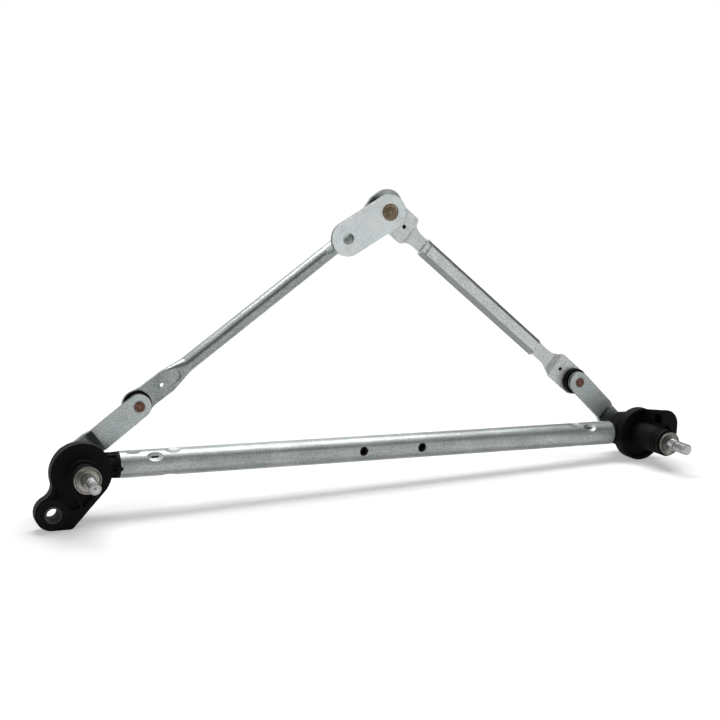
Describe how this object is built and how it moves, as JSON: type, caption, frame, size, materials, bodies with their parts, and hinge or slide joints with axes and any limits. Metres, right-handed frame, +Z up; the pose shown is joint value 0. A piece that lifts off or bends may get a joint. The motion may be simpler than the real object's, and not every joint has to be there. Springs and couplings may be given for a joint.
{
  "type": "windscreen wiper linkage",
  "caption": "Windscreen wiper linkage: frame tube with black pivot housings, knurled wiper shafts, stepped cranks, a tube rod, a pressed channel rod and a motor crank.",
  "frame": {"origin": "middle of the bolt bore in the sleeve of the left mounting ear", "axes": "+X along the frame tube from the left pivot to the right, -Y the way the wiper shafts point, +Z up"},
  "size_m": [0.4865, 0.1135, 0.2191],
  "materials": {
    "zinc_tube": "galvanised, streaky satin",
    "zinc_plate": "zinc plated, satin",
    "bright_steel": "turned, bright",
    "spring_steel": "oiled dark",
    "stud_steel": "coppered, satin",
    "black_plastic": "moulded, slight sheen",
    "rubber": "matt",
    "bronze": "sintered, oiled"
  },
  "bodies": {
    "frame": {"frame_tube": "zinc_tube", "left_housing": "black_plastic", "right_housing": "black_plastic", "ear_grommet": "rubber", "ear_sleeve": "bright_steel", "left_front_bush": "bronze", "left_rear_bush": "bronze", "right_front_bush": "bronze", "right_rear_bush": "bronze", "left_seal_ring": "rubber", "right_seal_ring": "rubber"},
    "left_crank": {"left_shaft": "bright_steel", "left_thrust_washer": "bright_steel", "left_circlip": "spring_steel", "left_spacer_washer": "black_plastic", "left_crank_plate": "zinc_plate", "left_ball_stud": "stud_steel"},
    "left_rod": {"left_rod": "zinc_plate", "left_rod_lower_socket": "black_plastic", "left_rod_upper_socket": "black_plastic"},
    "motor_crank": {"motor_crank_plate": "zinc_plate", "motor_crank_stud": "stud_steel"},
    "right_crank": {"right_shaft": "bright_steel", "right_thrust_washer": "bright_steel", "right_circlip": "spring_steel", "right_spacer_washer": "black_plastic", "right_crank_plate": "zinc_plate", "right_ball_stud": "stud_steel"},
    "right_rod": {"right_rod": "zinc_plate", "right_rod_lower_socket": "black_plastic", "right_rod_upper_socket": "black_plastic"}
  },
  "joints": [
    {"name": "left_crank_swing", "type": "hinge", "parent": "frame", "child": "left_crank", "pos_m": [0.0183, 0.0135, 0.025], "axis": [0, -1, 0], "range_deg": [0, 40]},
    {"name": "left_rod_swing", "type": "hinge", "parent": "left_crank", "child": "left_rod", "pos_m": [0.06322, 0.038, 0.06009], "axis": [0, -1, 0], "range_deg": [-53.8, 0]},
    {"name": "motor_crank_turn", "type": "hinge", "parent": "left_rod", "child": "motor_crank", "pos_m": [0.2444, 0.0521, 0.192], "axis": [0, -1, 0], "continuous": true},
    {"name": "right_crank_swing", "type": "hinge", "parent": "frame", "child": "right_crank", "pos_m": [0.4553, 0.0135, 0.025], "axis": [0, -1, 0], "range_deg": [0, 40]},
    {"name": "right_rod_swing", "type": "hinge", "parent": "right_crank", "child": "right_rod", "pos_m": [0.41281, 0.038, 0.06299], "axis": [0, -1, 0], "range_deg": [-43.4, 0]}
  ],
  "couplings": [
    {"joint": "left_rod_swing", "follows": "left_crank_swing", "ratio": -1.3432},
    {"joint": "right_crank_swing", "follows": "left_crank_swing", "ratio": 1},
    {"joint": "right_rod_swing", "follows": "left_crank_swing", "ratio": -1.0828}
  ]
}
